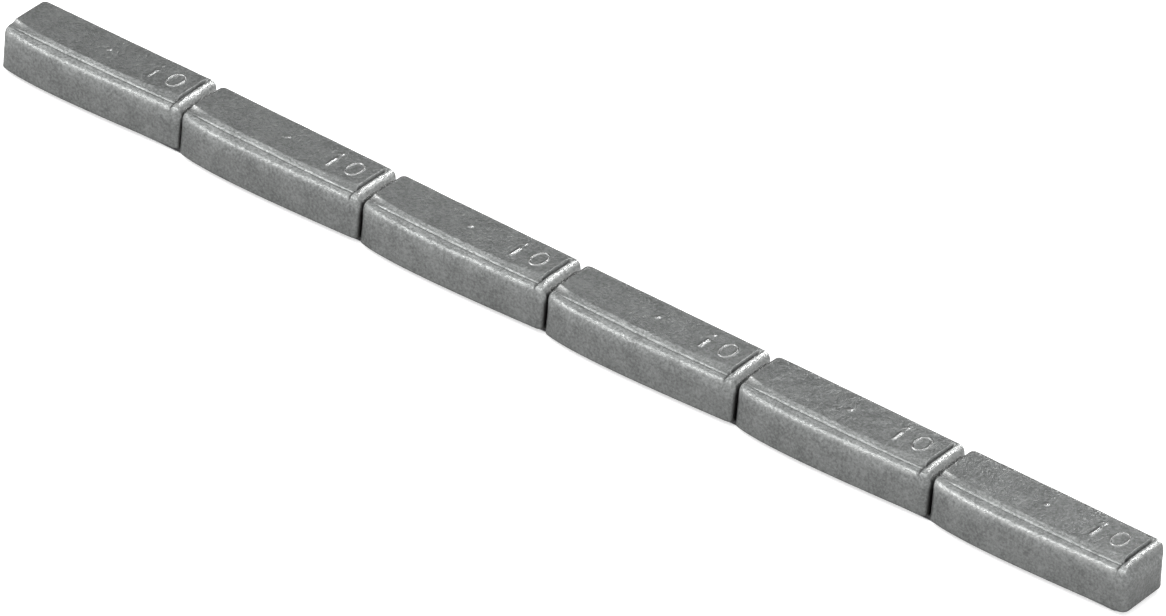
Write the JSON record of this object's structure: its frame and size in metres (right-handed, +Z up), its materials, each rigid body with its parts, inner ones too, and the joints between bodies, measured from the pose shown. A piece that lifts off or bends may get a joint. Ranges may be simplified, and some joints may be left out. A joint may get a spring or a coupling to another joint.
{
  "type": "adhesive wheel balance weight strip",
  "caption": "Straight strip of small bowed metal bars, each with a number panel and a grooved rim, joined by thin foam tape with a release film, for sticking to a wheel rim.",
  "frame": {"origin": "under the middle of the row, on the face of the release film that the strip lies on", "axes": "+X along the row towards the rim end of each bar, +Y to the straight back, +Z up out of the number panels"},
  "size_m": [0.1523, 0.0084, 0.0057],
  "materials": {
    "cast_metal": "satin, fine grain",
    "foam_tape": "matt foam",
    "liner_film": "smooth film"
  },
  "bodies": {
    "root": {"weight_1": "cast_metal", "weight_2": "cast_metal", "weight_3": "cast_metal", "weight_4": "cast_metal", "weight_5": "cast_metal", "weight_6": "cast_metal", "adhesive_tape": "foam_tape", "release_liner": "liner_film"}
  },
  "joints": []
}
